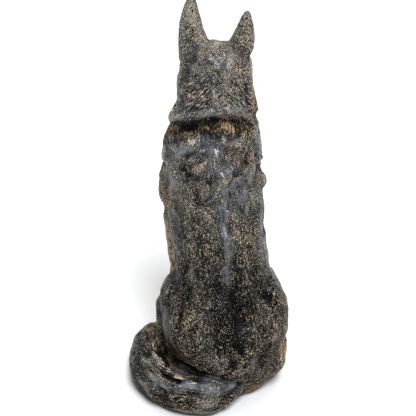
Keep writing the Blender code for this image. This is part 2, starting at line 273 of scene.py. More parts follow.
def regions(own, head, tail_on):
    """How much each point belongs to each part of the dog, from 0 to 1."""
    x, y, z = own.T
    across, back, up = head.T
    ears = rise(up, 0.062, 0.006) * rise(np.abs(across), 0.022, 0.006) * rise(-np.abs(back), -0.06, 0.01)
    skull = rise(-np.hypot(across, np.maximum(back, 0)), -0.105, 0.01) * rise(up, -0.085, 0.012)
    skull *= rise(-back, -0.075, 0.012)
    muzzle = rise(-back, 0.085, 0.01) * rise(z, 0.66, 0.01)
    foreleg = rise(-z, -0.40, 0.02) * rise(-y, 0.075, 0.015)
    haunch = rise(-z, -0.30, 0.02) * rise(np.abs(x), 0.075, 0.01) * rise(y, -0.075, 0.01)
    foot = rise(-z, -0.050, 0.008) * (1 - tail_on)
    return {
        "ears": ears,
        "skull": skull * (1 - ears),
        "muzzle": muzzle,
        "foreleg": foreleg,
        "haunch": haunch,
        "foot": foot,
        "tail": tail_on,
    }


def hair_run(own, head, where, tail_way):
    """The direction of the hair at every point, before it is laid on the surface."""
    x, _, z = own.T
    across = head[:, 0]
    down = np.stack([0.25 * np.tanh(x / 0.06), 0.42 + 0 * x, -0.9 + 0 * x], axis=1)
    neck = rise(z, 0.655, 0.02)
    sweep = np.tanh(across / 0.02)[:, None] * HEAD_AXES[:, 0] * 0.85 + (0, 0.1, -0.75)
    way = down * (1 - neck[:, None]) + sweep * neck[:, None]
    crown = HEAD_AXES[:, 1] + 0.54 * np.tanh(across / 0.03)[:, None] * HEAD_AXES[:, 0]
    for name, part_way in (
        ("skull", crown + (0, 0, -0.35)),
        ("muzzle", HEAD_AXES[:, 1] + 0 * own),
        ("ears", HEAD_AXES[:, 2] + 0 * own),
        ("foreleg", (0, 0.02, -1) + 0 * own),
        ("haunch", (0, 0.25, -1) + 0 * own),
        ("foot", (0, -1, -0.25) + 0 * own),
        ("tail", tail_way),
    ):
        share = where[name][:, None]
        way = way * (1 - share) + part_way * share
    return way


def unit(rows):
    """Each row divided by its own length."""
    return rows / (np.linalg.norm(rows, axis=1, keepdims=True) + 1e-9)


co = read(body, "co")
normal = read(body, "normal")
own = own_shares(co)
head = head_shares(co)
along_tail, round_tail, on_tail, tail_way = tail_run(own)
where = regions(own, head, on_tail)


# The cutting of the coat. Random grains are combed along the hair's run until they are strokes:
# between two strokes of opposite sign lies a groove, as the modeller's comb leaves it.
def neighbours(mesh):
    """Every pair of points that share a face, both ways round, as two rows of numbers."""
    mesh.calc_loop_triangles()
    corners = np.empty(len(mesh.loop_triangles) * 3, int)
    mesh.loop_triangles.foreach_get("vertices", corners)
    corners = corners.reshape(-1, 3)
    pairs = np.concatenate([corners[:, [0, 1]], corners[:, [1, 2]], corners[:, [2, 0]]])
    pairs = np.sort(pairs, axis=1)
    count = len(mesh.vertices)
    pairs = np.stack(np.divmod(np.unique(pairs[:, 0] * count + pairs[:, 1]), count), axis=1)
    return np.concatenate([pairs, pairs[:, ::-1]]).T


def mixed(values, links, weight, rounds):
    """Each value averaged with its neighbours' by weight, again and again."""
    here, there = links
    count = len(values)
    total = np.bincount(here, weight, count) + 1
    for _ in range(rounds):
        values = (values + np.bincount(here, weight * values[there], count)) / total
    return values


def even(values):
    """Values brought to a middle of 0 and a spread of 1."""
    return (values - values.mean()) / values.std()


def grooved(strokes, width):
    """Round ridges between narrow grooves: 0 where the strokes change sign, 1 on their crests."""
    return np.clip(np.abs(strokes) / width, 0, 1) ** 0.6


def combed_links(co, normal, way, links):
    """For each pair of points, how nearly the step between them follows the hair, from 0 to 1."""
    flat_way = unit(way - normal * (way * normal).sum(1, keepdims=True))
    return np.abs((unit(co[links[1]] - co[links[0]]) * flat_way[links[0]]).sum(1)) ** 8


links = neighbours(body)
evenly = np.ones(links.shape[1])
combed = combed_links(co, normal, hair_run(own, head, where, tail_way), links)
chance = np.random.default_rng(7)


def grains(soft, drawn):
    """Random grains on the skin in hand, softened and then drawn along the hair by so many rounds."""
    values = mixed(chance.normal(size=len(co)), links, evenly, soft)
    return even(mixed(values, links, combed, drawn))


fine_strokes = grains(1, 10)
locks = grains(9, 34)
lumps = grains(80, 0)
stucco = grains(3, 0)

# Flats: the modeller slapped the clay of the back with a board. Each flat is a plane of its own
# tilt round a random seed, and a point belongs to the flat whose seed is nearest. The steepness
# comes from the rise, and the depth and height, in shares, say how far a flat may go in or out.
FLATS = 170
FLAT_LOW = np.array((-0.15, -0.17, 0.30))
FLAT_HIGH = np.array((0.15, 0.22, 0.70))
FLAT_RISE = 0.46
FLAT_DEPTH = 0.0130
FLAT_HEIGHT = 0.0050

slaps = np.random.default_rng(4)
flat_seeds = FLAT_LOW + slaps.random((FLATS, 3)) * (FLAT_HIGH - FLAT_LOW)
flat_tilts = slaps.normal(size=(FLATS, 3))
flat_tilts /= np.linalg.norm(flat_tilts, axis=1, keepdims=True)
# some flats are polished: they take more gloss and less gold, and the gloss paints a grey sheen on them,
# a painted highlight
flat_polish = rise(slaps.random(FLATS), 0.62, 0.08)


def nearest_flat(own):
    """The number of the flat that each point belongs to."""
    best = np.full(len(own), np.inf)
    found = np.zeros(len(own), int)
    for number, seed in enumerate(flat_seeds):
        far = ((own - seed) ** 2).sum(1)
        found[far < best] = number
        best = np.minimum(best, far)
    return found


def shoulders(own, normal, foreleg):
    """Where the flats lie: over the shoulders, and more faintly down the back."""
    z = own[:, 2]
    reach = (0.35 + 0.65 * rise(z, 0.50, 0.03)) * rise(z, 0.36, 0.04) * rise(-z, -0.68, 0.01)
    return reach * rise(normal[:, 1], -0.1, 0.2) * (1 - foreleg)


# The face's carving. An eye is cut on its own ball: inside the almond the ball shows, with a small
# hollow for the pupil, and round it the lids stand proud by their thickness.
LID = 0.0044
EYE_REACH = math.radians(60)
UPPER_LID = math.radians(31)
LOWER_LID = math.radians(26)


def eye_angles(head, side):
    """For one eye: each point's angles outwards and up from the gaze, its distance from the
    ball's middle, the way there, and how far it lies ahead."""
    gaze = np.array((side * 0.60, -0.79, 0.08))
    gaze /= np.linalg.norm(gaze)
    outward = np.array((side * 0.78, 0.60, 0.24))
    outward -= gaze * (outward @ gaze)
    outward /= np.linalg.norm(outward)
    raised = np.cross(gaze, outward) * -side
    gap = head - EYE * (side, 1, 1)
    far = np.linalg.norm(gap, axis=1)
    ahead = gap @ gaze
    forward = np.maximum(ahead, 1e-4)
    return np.arctan2(gap @ outward, forward), np.arctan2(gap @ raised, forward), far, gap, ahead


def outside_almond(aside, raised):
    """How far, in radians, a direction lies outside the opening between the lids; negative inside."""
    bow = np.cos(np.clip(aside / EYE_REACH, -1, 1) * math.pi / 2)
    over = np.maximum(raised - UPPER_LID * bow**0.8, -LOWER_LID * bow - raised)
    return np.maximum(over, np.abs(aside) - EYE_REACH)


def carved_eyes(head):
    """The points near each eye drawn towards the ball or the lids, and the rest as they were."""
    for side in (1, -1):
        aside, raised, far, gap, ahead = eye_angles(head, side)
        outside = outside_almond(aside, raised)
        lid = LID * rise(outside, 0.03, 0.025) * (1 - 0.8 * rise(outside, 0.36, 0.08))
        crease = 0.0020 * hill(outside, 0.48, 0.09)
        pupil = 0.0014 * rise(-np.hypot(aside, raised), -0.18, 0.03)
        shape = EYE_RADIUS + lid - crease - pupil
        hold = rise(-far, -0.0215, 0.0016) * rise(ahead, 0.0015, 0.0008) * rise(-outside, -0.62, 0.06)
        head = head + gap * (hold * (shape / np.maximum(far, 1e-4) - 1))[:, None]
    return head


def nostrils(head):
    """1 in the two nostrils and in the slits that run from them round the pad's sides."""
    across, back, up = head.T
    wide = np.abs(across)
    hole = hill(np.hypot((wide - 0.0085) / 1.2, up + 0.0010), 0, 0.0038) * rise(-back, 0.198, 0.002)
    slit = hill(up + 0.0045 + 0.20 * (wide - 0.012), 0, 0.0020) * hill(wide, 0.0150, 0.0045)
    return np.maximum(hole, slit * rise(-back, 0.192, 0.002))


def face_lift(head):
    """Nostrils, the groove under the nose, lips and whisker pits, as a lift in shares."""
    across, back, up = head.T
    wide = np.abs(across)
    groove = hill(across, 0, 0.0014) * rise(-back, 0.198, 0.002) * rise(-up, 0.004, 0.001)
    groove = groove * rise(up, -0.040, 0.002)
    lip_line = -0.044 - 0.16 * (back + 0.19) + 0.9 * np.maximum(back + 0.12, 0) ** 2
    in_mouth = rise(-back, 0.090, 0.005) * rise(up, -0.064, 0.004)
    mouth = hill(up, lip_line, 0.0019) * in_mouth
    lip = hill(up, lip_line + 0.0065, 0.0045) * in_mouth
    chin = hill(up, lip_line - 0.0060, 0.0040) * in_mouth
    dots = np.maximum(np.sin(back * 640 + 2 * np.sin(up * 240)) * np.sin(up * 760), 0) ** 3
    pad = hill(back, -0.172, 0.020) * hill(up, -0.022, 0.013) * rise(wide, 0.018, 0.003)
    bridge = hill(across, 0, 0.010) * rise(-back, 0.075, 0.01) * rise(up, -0.005, 0.004)
    return (
        -0.0060 * nostrils(head) - 0.0018 * groove - 0.0046 * mouth + 0.0018 * lip + 0.0008 * chin
        - 0.0010 * dots * pad + 0.0012 * pad - 0.0008 * bridge
    )


# Marks of thumb and tool. Each is a bent line in the figure's shares with a half width; then how
# far it stands out, in shares, how much more gold it takes, and how much gloss; the gloss also
# paints a grey sheen into the colour, a painted highlight.
BACK_MARKS = (
    # the band of painted grey highlight that winds down the spine, and the dark furrow that carries it
    # on
    (((0.037, 0.013, 0.674), (0.014, 0.040, 0.640), (0.021, 0.050, 0.614)), 0.011, 0.0060, -0.8, 1.3),
    (((0.021, 0.050, 0.614), (0.008, 0.066, 0.596), (0.006, 0.082, 0.569), (0.010, 0.100, 0.531)),
     0.012, 0.0060, -0.8, 1.4),
    (((0.010, 0.100, 0.531), (0.015, 0.122, 0.485), (0.008, 0.141, 0.452), (0.001, 0.153, 0.428)),
     0.013, 0.0060, -0.7, 1.2),
    (((0.001, 0.153, 0.428), (0.009, 0.165, 0.401), (0.020, 0.180, 0.360)), 0.010, 0.0040, -0.4, 0.6),
    (((0.022, 0.190, 0.334), (0.008, 0.209, 0.284), (-0.005, 0.223, 0.245), (-0.020, 0.241, 0.193)),
     0.018, -0.0056, -0.9, -0.1),
    (((-0.020, 0.241, 0.193), (0.001, 0.245, 0.160), (0.012, 0.248, 0.130)),
     0.011, -0.0060, -0.7, -0.1),
    (((0.024, 0.186, 0.345), (0.008, 0.208, 0.290)), 0.030, 0.0, -0.40, 0.0),
    # torn flakes of clay on the shoulders, with painted highlight on their upper edges
    (((0.083, 0.018, 0.623), (0.062, 0.022, 0.637), (0.044, 0.024, 0.650)), 0.0042, 0.0100, -0.2, 1.4),
    (((0.080, 0.028, 0.608), (0.042, 0.036, 0.634)), 0.0060, -0.0064, -0.3, 0.0),
    (((0.094, 0.013, 0.601), (0.074, 0.040, 0.584), (0.050, 0.050, 0.590)), 0.010, -0.0044, -0.5, 0.0),
    (((0.116, -0.050, 0.636), (0.098, 0.000, 0.648), (0.062, 0.012, 0.664)), 0.012, 0.0056, -0.3, 0.7),
    (((0.000, 0.026, 0.666), (-0.020, 0.029, 0.660), (-0.041, 0.026, 0.653)),
     0.0055, 0.0100, -0.3, 1.4),
    (((-0.012, 0.036, 0.648), (-0.036, 0.034, 0.638)), 0.0065, -0.0024, -0.2, 0.3),
    (((-0.006, 0.043, 0.636), (-0.018, 0.050, 0.618), (-0.024, 0.054, 0.606)),
     0.0075, 0.0080, -0.4, 1.4),
    (((-0.024, 0.054, 0.606), (-0.017, 0.064, 0.592), (0.000, 0.075, 0.580)),
     0.0070, 0.0090, -0.4, 1.4),
    (((0.003, 0.076, 0.578), (0.020, 0.082, 0.556), (0.038, 0.086, 0.535)), 0.0075, 0.0070, -0.2, 1.1),
    (((0.040, 0.088, 0.530), (0.075, 0.074, 0.520)), 0.0080, -0.0060, -0.3, 0.0),
    (((-0.030, 0.072, 0.560), (-0.060, 0.066, 0.545)), 0.0070, 0.0070, 0.0, 0.5),
    # the ridge along the right arm, and the lumps of the shoulder blades on the outline
    (((-0.100, -0.012, 0.665), (-0.109, -0.008, 0.630), (-0.114, -0.010, 0.600)),
     0.0070, 0.0080, 0.0, 0.8),
    (((-0.090, 0.010, 0.655), (-0.098, 0.014, 0.600)), 0.0070, -0.0080, -0.4, 0.0),
    (((0.100, 0.000, 0.640), (0.112, -0.010, 0.600)), 0.0090, 0.0090, 0.1, 0.4),
    (((0.090, 0.030, 0.600), (0.104, 0.020, 0.570)), 0.0080, -0.0080, -0.4, 0.0),
    (((-0.106, 0.010, 0.560), (-0.114, 0.000, 0.530)), 0.0090, 0.0100, 0.1, 0.5),
    # notches and lumps on the outline of both shoulders
    (((0.122, -0.132, 0.556), (0.127, -0.085, 0.565), (0.115, -0.040, 0.580)),
     0.0080, -0.0100, -0.3, 0.0),
    (((0.128, -0.120, 0.525), (0.130, -0.080, 0.515)), 0.014, 0.0060, 0.0, 0.3),
    (((-0.126, -0.060, 0.586), (-0.122, -0.010, 0.583)), 0.0075, -0.0090, -0.3, 0.0),
    (((-0.130, -0.050, 0.545), (-0.124, -0.010, 0.540)), 0.012, 0.0056, 0.2, 0.2),
    # polished places with painted grey sheen down both sides, and between them the tan edge of the left
    # foreleg
    (((0.113, 0.036, 0.500), (0.114, 0.040, 0.430), (0.120, 0.047, 0.381)), 0.011, 0.0, -0.5, 0.2),
    (((0.130, -0.055, 0.500), (0.128, -0.028, 0.476), (0.124, -0.040, 0.430)), 0.022, 0.0, 0.45, -0.3),
    (((0.130, -0.040, 0.450), (0.121, -0.080, 0.385), (0.113, -0.118, 0.296), (0.107, -0.135, 0.229)),
     0.034, 0.0, 0.55, -0.2),
    (((-0.104, 0.052, 0.470), (-0.105, 0.064, 0.439), (-0.106, 0.099, 0.368)), 0.016, 0.0, -0.3, 0.7),
    # a smooth place of painted grey sheen under the ruff's cut, and a dark one lower on the left
    (((0.034, 0.014, 0.672), (-0.010, 0.022, 0.672)), 0.013, 0.0020, -0.35, 0.8),
    (((0.077, 0.140, 0.370), (0.070, 0.150, 0.340)), 0.024, 0.0, -0.4, 0.1),
    # the painted shade under the ruff's roll, deepest on the left
    (((0.089, -0.030, 0.690), (0.060, -0.014, 0.702)), 0.011, -0.0020, -0.6, 0.0),
    (((0.040, -0.002, 0.716), (-0.010, 0.004, 0.720), (-0.060, -0.004, 0.708), (-0.095, -0.020, 0.690)),
     0.0045, -0.0016, -0.5, 0.0),
)
RUMP_MARKS = (
    # the dark crevice between rump and tail with its thin lip, and tan clay dragged over it
    (((0.166, 0.060, 0.122), (0.160, 0.110, 0.124), (0.146, 0.172, 0.116), (0.112, 0.212, 0.112)),
     0.0065, -0.0100, -1.2, 0.0),
    (((0.112, 0.212, 0.112), (0.084, 0.229, 0.108), (0.035, 0.250, 0.096), (-0.006, 0.250, 0.076)),
     0.0065, -0.0080, -1.2, 0.0),
    (((0.178, 0.050, 0.104), (0.172, 0.120, 0.104), (0.158, 0.180, 0.102), (0.118, 0.226, 0.101)),
     0.0040, 0.0090, 0.5, 0.4),
    (((0.118, 0.226, 0.101), (0.086, 0.243, 0.100), (0.038, 0.262, 0.087)), 0.0040, 0.0090, 0.4, 0.4),
    (((0.186, -0.032, 0.085), (0.182, 0.020, 0.100), (0.190, 0.085, 0.098)), 0.014, 0.0020, 0.9, 0.0),
    (((0.188, 0.120, 0.098), (0.176, 0.165, 0.100), (0.163, 0.205, 0.096), (0.124, 0.240, 0.096)),
     0.010, 0.0020, 0.9, 0.0),
    # gold dabs at the tail's root and on the right thigh, and the right hind foot's tan edge
    (((0.003, 0.247, 0.112), (0.026, 0.248, 0.124)), 0.012, 0.0, 0.5, 0.0),
    (((0.002, 0.244, 0.168), (0.003, 0.244, 0.160)), 0.011, 0.0030, 0.7, 0.0),
    (((-0.130, 0.185, 0.130), (-0.140, 0.150, 0.080)), 0.030, 0.0, 0.3, 0.0),
    (((-0.146, 0.172, 0.150), (-0.142, 0.182, 0.125), (-0.140, 0.186, 0.098)),
     0.016, 0.0020, 1.6, -0.4),
    # the slit in the left haunch between two light ridges of gold and painted sheen, and the creases of
    # both haunches
    (((0.143, 0.070, 0.305), (0.147, 0.095, 0.280), (0.149, 0.108, 0.255)), 0.0050, -0.0140, -1.0, 0.0),
    (((0.152, 0.060, 0.300), (0.158, 0.085, 0.270), (0.160, 0.095, 0.245)), 0.0060, 0.0090, 0.3, 0.7),
    (((0.134, 0.085, 0.312), (0.138, 0.115, 0.280), (0.142, 0.128, 0.250)), 0.0060, 0.0080, 0.2, 0.6),
    (((0.126, 0.150, 0.315), (0.134, 0.168, 0.270), (0.138, 0.180, 0.215)), 0.0075, -0.0090, -0.6, 0.0),
    (((-0.090, 0.160, 0.330), (-0.100, 0.180, 0.270), (-0.104, 0.190, 0.215)),
     0.0085, -0.0090, -0.6, 0.0),
)
TAIL_MARKS = (
    # painted highlights on the tail's crests, and an oval of gold and painted sheen on its outer side
    (((0.140, 0.240, 0.094), (0.110, 0.257, 0.093), (0.087, 0.262, 0.090)), 0.0100, 0.0030, -0.3, 1.3),
    (((0.087, 0.262, 0.090), (0.064, 0.269, 0.085), (0.040, 0.266, 0.085), (0.020, 0.258, 0.084)),
     0.0110, 0.0030, -0.5, 1.5),
    (((0.108, 0.280, 0.058), (0.078, 0.284, 0.055)), 0.016, 0.0040, 0.45, 0.7),
    # light ridges of gold and painted sheen, and dark grooves that follow the tail's bend
    (((0.218, 0.135, 0.096), (0.192, 0.205, 0.091), (0.160, 0.240, 0.088)), 0.0060, 0.0070, 0.8, 0.1),
    (((0.232, 0.120, 0.088), (0.212, 0.190, 0.084), (0.178, 0.238, 0.080)), 0.0050, 0.0050, 0.2, 0.9),
    (((0.205, 0.140, 0.098), (0.182, 0.195, 0.096), (0.150, 0.232, 0.094)), 0.0045, -0.0090, -0.8, 0.0),
    (((0.228, 0.130, 0.086), (0.206, 0.195, 0.082), (0.172, 0.246, 0.076)), 0.0045, -0.0090, -0.8, 0.0),
    # a dull place near the root, a line of painted highlight on the bend, and the dark outer side
    (((0.030, 0.262, 0.070), (-0.010, 0.248, 0.060)), 0.014, -0.0020, -0.6, 0.1),
    (((0.208, 0.194, 0.087), (0.187, 0.225, 0.082), (0.165, 0.249, 0.076)), 0.0065, 0.0, 0.0, 1.1),
    (((0.241, 0.013, 0.068), (0.243, 0.123, 0.078)), 0.030, 0.0, -0.45, 0.25),
    (((0.223, 0.200, 0.062), (0.190, 0.238, 0.047), (0.144, 0.271, 0.049)), 0.020, 0.0, -0.45, -0.3),
)
HEAD_MARKS = (
    # the left ear's light inner edge, gold with painted highlight, and the dark hollow at its root
    (((0.047, -0.149, 0.968), (0.031, -0.138, 0.934), (0.014, -0.130, 0.895)),
     0.0090, 0.0010, 0.55, 0.7),
    (((0.040, -0.108, 0.880), (0.048, -0.082, 0.856)), 0.0095, -0.0070, -1.4, 0.0),
    (((0.064, -0.084, 0.845), (0.064, -0.080, 0.815)), 0.016, -0.0020, -0.8, 0.0),
    # smooth places of painted grey sheen on the nape and crown, a tan one on the crown and one on the
    # neck's edge
    (((0.021, -0.052, 0.848), (0.032, -0.060, 0.836)), 0.011, 0.0, -0.45, 0.5),
    (((-0.042, -0.062, 0.872), (-0.044, -0.055, 0.860)), 0.013, 0.0020, -0.3, 0.4),
    (((-0.028, -0.028, 0.838), (-0.028, -0.024, 0.818)), 0.013, 0.0030, -0.3, 0.5),
    (((-0.016, -0.108, 0.886), (-0.010, -0.094, 0.880)), 0.0110, 0.0020, 1.1, -0.2),
    (((0.077, -0.081, 0.775), (0.078, -0.080, 0.768)), 0.0060, 0.0, 0.8, 0.0),
    # the tendon that the neck's fur folds over, in front of a long dark fold on each side
    (((0.030, -0.035, 0.815), (0.006, -0.020, 0.780), (0.004, -0.012, 0.758)),
     0.0075, 0.0050, 0.1, 0.4),
    (((0.012, -0.035, 0.835), (-0.010, -0.022, 0.795)), 0.0080, -0.0040, -0.3, 0.0),
    (((-0.072, -0.045, 0.810), (-0.078, -0.034, 0.775), (-0.082, -0.032, 0.745)),
     0.0070, -0.0060, -0.4, 0.0),
)
MARKS = BACK_MARKS + RUMP_MARKS + TAIL_MARKS + HEAD_MARKS
# Places where the gold is browner, each a line and a half width: by the torn flakes, on the right
# shoulder's edge, on top of the left foreleg, on the right hind foot, and along the tail's crest.
TAIL_CREST = ((0.172, 0.059, 0.107), (0.162, 0.130, 0.108), (0.142, 0.193, 0.102), (0.110, 0.236, 0.098))
BROWN_PLACES = (
    (((-0.040, 0.035, 0.632), (-0.075, 0.030, 0.600)), 0.022),
    (((0.090, 0.020, 0.590), (0.072, 0.042, 0.580)), 0.014),
    (((-0.106, 0.010, 0.580), (-0.112, 0.004, 0.530)), 0.016),
    (((0.130, -0.055, 0.500), (0.128, -0.028, 0.476)), 0.018),
    (((-0.142, 0.182, 0.125), (-0.140, 0.186, 0.098)), 0.013),
    (TAIL_CREST, 0.018),
)


def near_line(own, line, width):
    """1 on a bent line, falling off with the distance to its nearest span."""
    best = np.full(len(own), np.inf)
    for start, end in zip(np.array(line), np.array(line[1:])):
        run = end - start
        t = np.clip((own - start) @ run / (run @ run), 0, 1)
        best = np.minimum(best, ((own - start - t[:, None] * run) ** 2).sum(1))
    return np.exp(-best / width**2)


def marked(own, columns):
    """What all the marks together add at each point, for each of the named columns."""
    added = np.zeros((len(own), len(columns)))
    for line, width, *effects in MARKS:
        close = near_line(own, line, width)
        added += close[:, None] * np.array(effects)[columns]
    return added.T


# The ruff's roll: under it the coat is cut back, and the roll hangs over the cut.
RUFF_EDGE = 0.727


def over_ruff(own):
    """How far above the ruff's lower edge a point lies; the edge drops forwards and on the right."""
    x, y, z = own.T
    drop = 6 * np.maximum(-x - 0.03, 0) ** 2
    waves = 0.0016 * np.sin(75 * x)
    return z - RUFF_EDGE - 0.47 * (y + 0.005) + drop - waves


def ruff_reach(own):
    """How far the ruff reaches: 1 round the back of the neck, 0 at the throat and on the far right."""
    x, y, z = own.T
    round_neck = rise(y, -0.150, 0.02) * rise(z, 0.62, 0.01) * rise(-z, -0.80, 0.01)
    return round_neck * rise(x, -0.085, 0.012)


# All the cuts together. The locks lie deepest on the tail, the neck and the chest and shallowest on
# the face. The depths of hair and clay are in metres, and those of roll and cut are in shares.
LOCK_DEPTH = 0.0013
STROKE_DEPTH = 0.0005
STUCCO_DEPTH = 0.00035
LUMP_DEPTH = 0.0014
ROLL_HEIGHT = 0.0075
CUT_DEPTH = 0.0035
SOLE_HEIGHT = 0.0006
_, y, z = own.T
long_hair = np.clip(
    0.50
    + 0.65 * rise(z, 0.60, 0.03) * (1 - where["skull"]) * (1 - where["muzzle"])
    + 1.1 * where["tail"]
    + 0.5 * rise(-y, 0.13, 0.03) * rise(z, 0.42, 0.03)
    - 0.35 * where["foreleg"],
    0,
    1.7,
)
smooth_face = 1 - 0.85 * np.max([where["muzzle"], 0.5 * where["skull"], 0.6 * where["ears"]], axis=0)
(mark_lift,) = marked(own, [0])
above = over_ruff(own)
cut_back = rise(-above, 0.002, 0.002) * np.exp(np.minimum(above, 0) / 0.014)
roll_lift = ROLL_HEIGHT * hill(above, 0.010, 0.011) - CUT_DEPTH * cut_back
flat = nearest_flat(own)
flat_lift = FLAT_RISE * ((own - flat_seeds[flat]) * flat_tilts[flat]).sum(1)
most = np.where(flat_lift > 0, FLAT_HEIGHT, FLAT_DEPTH)
flat_lift = mixed(most * np.tanh(flat_lift / most), links, evenly, 2)

lift = LOCK_DEPTH * (grooved(locks, 0.8) - 0.7) * long_hair * smooth_face
lift += STROKE_DEPTH * (grooved(fine_strokes, 0.7) - 0.7) * smooth_face
lift += STUCCO_DEPTH * np.clip(stucco, -1.5, 2.0) * smooth_face
lift += LUMP_DEPTH * lumps * (1 - 0.8 * where["muzzle"]) * (1 - 0.85 * where["ears"])
carving = face_lift(head) * rise(-head[:, 1], 0.06, 0.01) + mark_lift + roll_lift * ruff_reach(own)
carving = carving + flat_lift * shoulders(own, normal, where["foreleg"])
lift += TALL * carving

# the seat, the paws and the tail stay ground flat on the floor
carved = co + normal * lift[:, None]
carved = HEAD_MIDDLE + TALL * carved_eyes(head_shares(carved)) @ HEAD_AXES.T
carved = inside_cad(carved)
carved[co[:, 2] < SOLE_HEIGHT, 2] = 0
body.vertices.foreach_set("co", carved.ravel())
body.update()

# The carved skin is thinned where it is flattest, until the whole dog is light enough to keep.
MOST_TRIANGLES = 196000
triangles = 2 * len(body.polygons)
thinned = finished(body, "dog", [("DECIMATE", {"ratio": MOST_TRIANGLES / triangles})])
thinned.vertices.foreach_set("co", inside_cad(read(thinned, "co")).ravel())
thinned.shade_smooth()
dog = bpy.data.objects.new("cast_dog", thinned)
bpy.context.scene.collection.objects.link(dog)

# The patina. The casting is sprayed black, and a nearly dry brush leaves dull gold on what stands
# out, thickly on the legs, chest and cheeks; on glossy crests and the upper back a painted highlight
# of grey sheen goes into the colour. Each point keeps how much gold and gloss it takes, how hollow it
# is, and which way the brush's strokes run.
co = read(thinned, "co")
normal = read(thinned, "normal")
own = own_shares(co)
head = head_shares(co)
_, y, z = own.T
across, back, up = head.T
along_tail, round_tail, on_tail, tail_way = tail_run(own)
where = regions(own, head, on_tail)
links = neighbours(thinned)
evenly = np.ones(links.shape[1])


def hollowness(rounds):
    """How far each point lies under the average of the skin round it, in metres."""
    middle = np.stack([mixed(co[:, i], links, evenly, rounds) for i in range(3)], axis=1)
    return ((middle - co) * normal).sum(1)


fine_hollow = np.clip(hollowness(2) / 0.00035, -1, 1)
wide_hollow = np.clip(hollowness(14) / 0.0022, -1, 1)
hollow = 0.5 * fine_hollow + 0.8 * wide_hollow
mark_gold, mark_gloss = marked(own, [1, 2])
above = over_ruff(own)
reach = ruff_reach(own)
roll = hill(above, 0.014, 0.014) * reach
band = rise(-above, 0.002, 0.002) * rise(above, -0.062, 0.008) * reach
front = rise(-normal[:, 1], 0.1, 0.15) * rise(-y, 0.10, 0.02)
chest = front * rise(-z, -0.70, 0.03) * rise(z, 0.22, 0.03)
cheek = rise(np.abs(across), 0.030, 0.01) * rise(-up, 0.004, 0.012)
cheek = cheek * rise(-back, -0.03, 0.02) * rise(z, 0.68, 0.02)
face = rise(-back, 0.015, 0.012) * rise(z, 0.69, 0.01) * (1 - where["ears"])
brow = hill(np.abs(across), 0.030, 0.012) * hill(back, -0.070, 0.012) * rise(up, 0.034, 0.006)
jaw = where["muzzle"] * rise(-up, 0.040, 0.010)
under = rise(-normal[:, 2], 0.45, 0.15)
inside_ear = where["ears"] * rise(-(normal @ HEAD_AXES[:, 1]), 0.1, 0.15)

# The gold of each part, where 1 is covered all over; a later part lies over the ones before it.
combed = combed_links(co, normal, hair_run(own, head, where, tail_way), links)
streaks = grains(4, 45)
streaky = rise(grains(40, 0), 0, 0.5)
dabbed = grains(30, 0)
# the gold thins towards the bottom: painted shade on the lower body, away from the light above
gold = -0.37 + 0.09 * streaks + 0.68 * rise(z, 0.46, 0.14)
for share, amount in (
    (where["skull"], 0.42),
    (band, 0.78),
    (where["haunch"], -0.19),
    (where["tail"], -0.22),
    (under, 0.50),
    (chest, 0.88),
    (where["foreleg"], 1.00),
    (where["foot"], 0.80),
    (where["muzzle"], 0.22),
    (cheek, 0.74),
    (jaw, 0.64),
    (brow, 0.72),
    (where["ears"], 0.50),
    (inside_ear, 0.66),
    (roll, 0.42),
):
    gold = gold * (1 - share) + amount * share

# The nose and the eyes stay black, and the lids' rims take the most gold.
nose = rise(-back, 0.196, 0.002) * rise(up, -0.022, 0.003) * rise(-np.abs(across), -0.023, 0.002)
eyes = np.zeros(len(co))
rims = np.zeros(len(co))
for side in (1, -1):
    aside, raised, far, _, ahead = eye_angles(head, side)
    outside = outside_almond(aside, raised)
    near = rise(-far, -0.0195, 0.0010) * rise(ahead, 0.003, 0.001)
    eyes = np.maximum(eyes, rise(-outside, -0.01, 0.025) * near)
    rims = np.maximum(rims, hill(outside, 0.22, 0.13) * near)
tan = np.max([where["foreleg"], where["foot"], chest, cheek, jaw, brow, inside_ear], axis=0)
polish = flat_polish[nearest_flat(own)] * shoulders(own, normal, where["foreleg"])
polish = mixed(polish, links, evenly, 3)
pits = nostrils(head) * nose
gold = gold * (1 - rims) + 0.95 * rims + (0.05 + 0.20 * where["tail"]) * streaks
gold = gold - 0.3 * polish + mark_gold
gold = gold + 0.10 * np.clip(dabbed, -2, 2) * rise(z, 0.50, 0.12) * (1 - face)
gold = gold - 2 * nose - 2 * eyes

# The gloss: most on the upper back, the polished flats, the crests, the nose and the eyes. Besides the
# coat's gloss it paints a grey sheen into the colour, a painted highlight, strongest on the upper back,
# which faces the light from above.
MOST_GLOSS = 1.5
upper = rise(z, 0.50, 0.12) * (1 - where["foreleg"])
gloss = 0.40 * upper + 0.50 * polish + 0.22 * rise(streaks, 0.7, 0.4) * (1 - upper)
gloss = gloss + 0.30 * where["tail"] * rise(streaks, 0.6, 0.3)
gloss = gloss - 0.5 * band + mark_gloss + 0.5 * roll
gloss = gloss - 0.25 * chest - 0.5 * tan - 0.2 * face + 0.8 * nose - 3 * pits + eyes
gloss = np.clip(gloss, 0, MOST_GLOSS)

